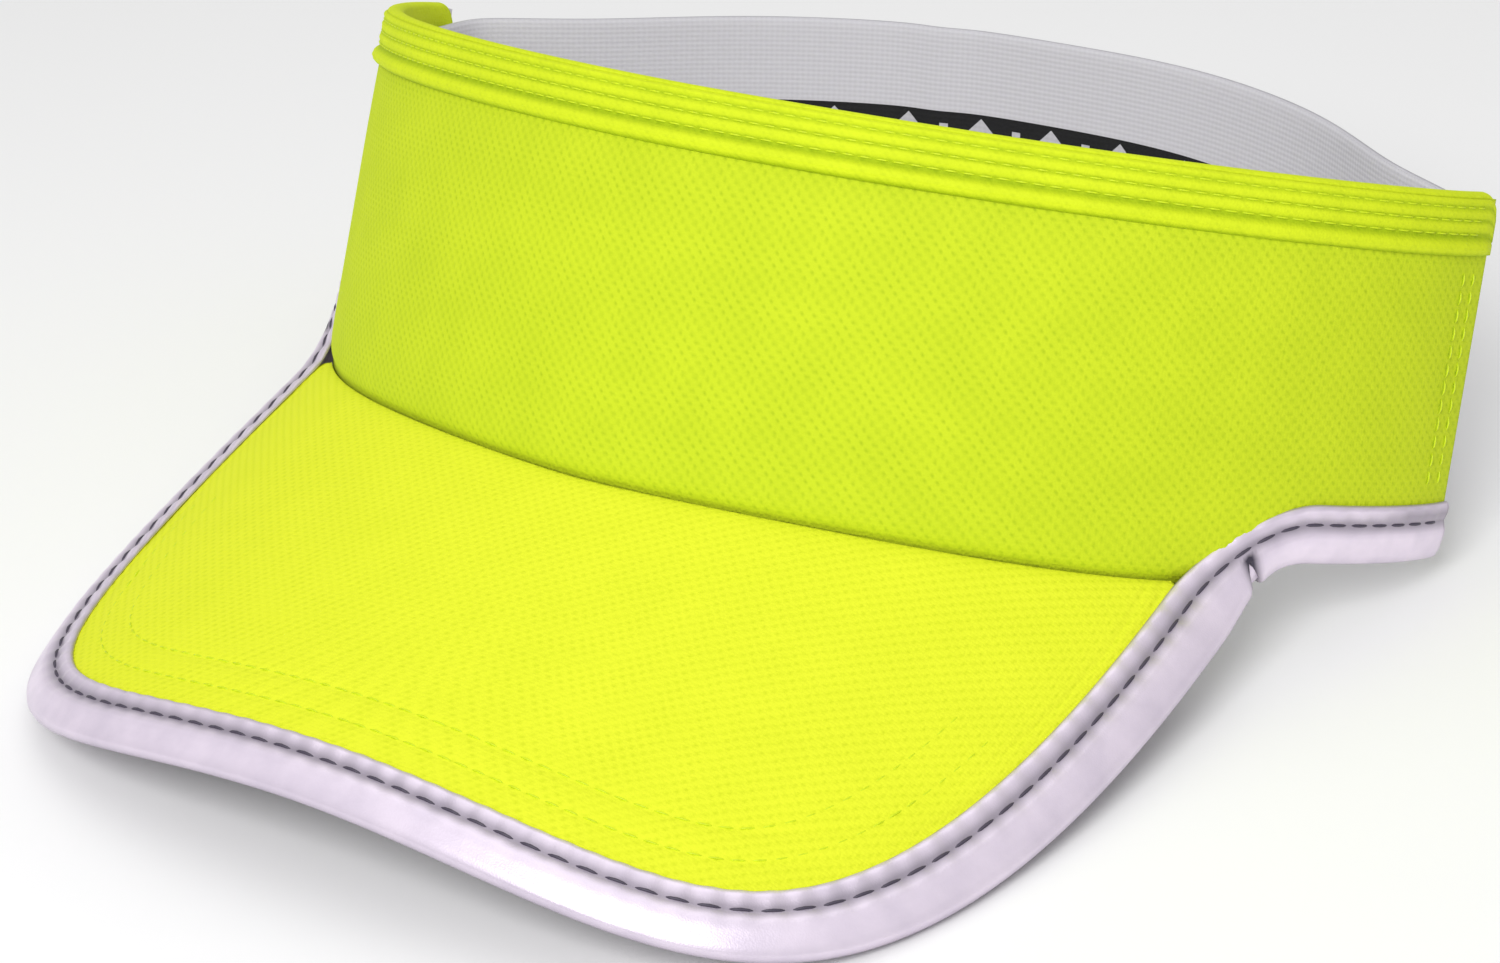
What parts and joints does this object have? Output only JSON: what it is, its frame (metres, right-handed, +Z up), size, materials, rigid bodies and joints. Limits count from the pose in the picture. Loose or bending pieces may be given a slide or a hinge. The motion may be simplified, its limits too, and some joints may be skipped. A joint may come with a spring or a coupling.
{
  "type": "sun visor",
  "caption": "Open-crown sun visor: curved fabric front panel, arched sprung brim with taped edge, and a stretchy back band that slides open to fit a head.",
  "frame": {"origin": "centre of the bounding box at the surface the visor stands on", "axes": "-Y to the front of the brim, +X across to the side that is right in a front view, +Z up as it stands on a table"},
  "size_m": [0.2106, 0.216, 0.0846],
  "materials": {
    "yellow_knit": "dimpled hi-vis knit",
    "buckram": "stiff woven interlining",
    "white_lining": "plain woven lining",
    "terry": "terry loop",
    "yellow_binding_knit": "folded rib of the same knit",
    "board": "flexible brim board",
    "dark_cloth": "dark plain cloth",
    "reflective_tape": "silver retroreflective tape",
    "grey_elastic": "woven elastic with a dark woven stripe",
    "label": "blank woven label",
    "grey_thread": "polyester thread",
    "yellow_thread": "polyester thread"
  },
  "bodies": {
    "visor_body": {"front_panel": "yellow_knit", "panel_stiffener": "buckram", "panel_lining": "white_lining", "sweatband": "terry", "top_binding": "yellow_binding_knit", "brim_board": "board", "brim_top_cover": "yellow_knit", "brim_under_cover": "dark_cloth", "reflective_binding": "reflective_tape", "care_label": "label", "binding_stitch": "grey_thread", "top_binding_stitch": "yellow_thread", "brim_topstitch": "yellow_thread", "sweatband_stitch": "yellow_thread", "elastic_stitch_left": "yellow_thread", "elastic_stitch_right": "yellow_thread"},
    "back_band": {"elastic_band": "grey_elastic"}
  },
  "joints": [
    {"name": "elastic_stretch", "type": "slide", "parent": "visor_body", "child": "back_band", "axis": [0, 0.9291, -0.3698], "range_m": [0, 0.04], "stiffness_N_per_m": 60}
  ]
}
